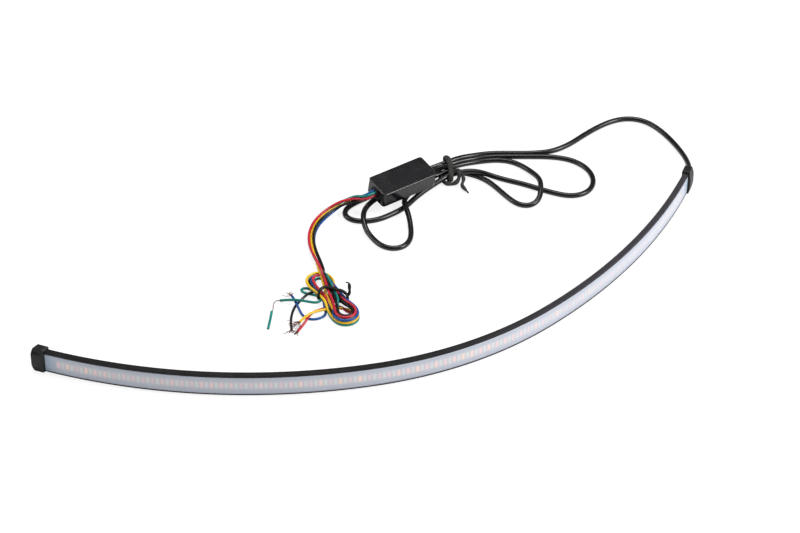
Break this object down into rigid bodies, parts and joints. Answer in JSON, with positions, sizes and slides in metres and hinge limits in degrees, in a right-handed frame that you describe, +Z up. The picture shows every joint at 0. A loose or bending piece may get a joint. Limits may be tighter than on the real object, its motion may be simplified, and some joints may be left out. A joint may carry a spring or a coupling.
{
  "type": "motorcycle led tail light strip",
  "caption": "Flexible LED tail light strip bent in a long arc, with a frosted front in a black channel, end caps, a looped cable to a small control box, and a tied hank of coloured wires.",
  "frame": {"origin": "middle of the box round the strip, its caps and the control box, at the floor the strip stands on", "axes": "+X from the plain end to the cable end, +Y from the frosted face towards the back and the control box, +Z up"},
  "size_m": [0.4919, 0.3413, 0.0245],
  "materials": {
    "channel": "satin",
    "diffuser": "frosted",
    "flex_board": "matte",
    "red_lamps": "glossy",
    "amber_lamps": "glossy",
    "chip_resistors": "matte",
    "adhesive_tape": "matte foam",
    "tape_liner": "glossy film",
    "end_cap": "satin moulded",
    "grommet": "matte",
    "cable_jacket": "glossy",
    "cable_tie": "matte",
    "box_plastic": "semi-gloss moulded",
    "circuit_board": "glossy",
    "chip_plastic": "matte",
    "capacitor_can": "satin",
    "red_insulation": "glossy",
    "black_insulation": "glossy",
    "yellow_insulation": "glossy",
    "blue_insulation": "glossy",
    "green_insulation": "glossy",
    "mixed_insulation": "glossy",
    "wire_tie": "matte",
    "copper": "bare copper"
  },
  "bodies": {
    "root": {"channel": "channel", "diffuser": "diffuser", "flex_board": "flex_board", "red_lamps": "red_lamps", "amber_lamps": "amber_lamps", "chip_resistors": "chip_resistors", "adhesive_tape": "adhesive_tape", "tape_liner": "tape_liner", "left_end_cap": "end_cap", "right_end_cap": "end_cap", "cap_grommet": "grommet", "light_cable": "cable_jacket", "cable_tie": "cable_tie", "box_shell": "box_plastic", "box_base": "box_plastic", "circuit_board": "circuit_board", "control_chip": "chip_plastic", "power_transistors": "chip_plastic", "voltage_regulator": "chip_plastic", "capacitor": "capacitor_can", "cable_grommet": "grommet", "wire_grommet": "grommet", "red_wire": "red_insulation", "black_wire": "black_insulation", "yellow_wire": "yellow_insulation", "blue_wire": "blue_insulation", "green_wire": "green_insulation", "wire_hank": "mixed_insulation", "wire_tie": "wire_tie", "red_tail": "red_insulation", "black_tail": "black_insulation", "yellow_tail": "yellow_insulation", "blue_tail": "blue_insulation", "green_tail": "green_insulation", "copper_ends": "copper", "bare_strand": "copper", "green_offcut": "green_insulation"}
  },
  "joints": []
}
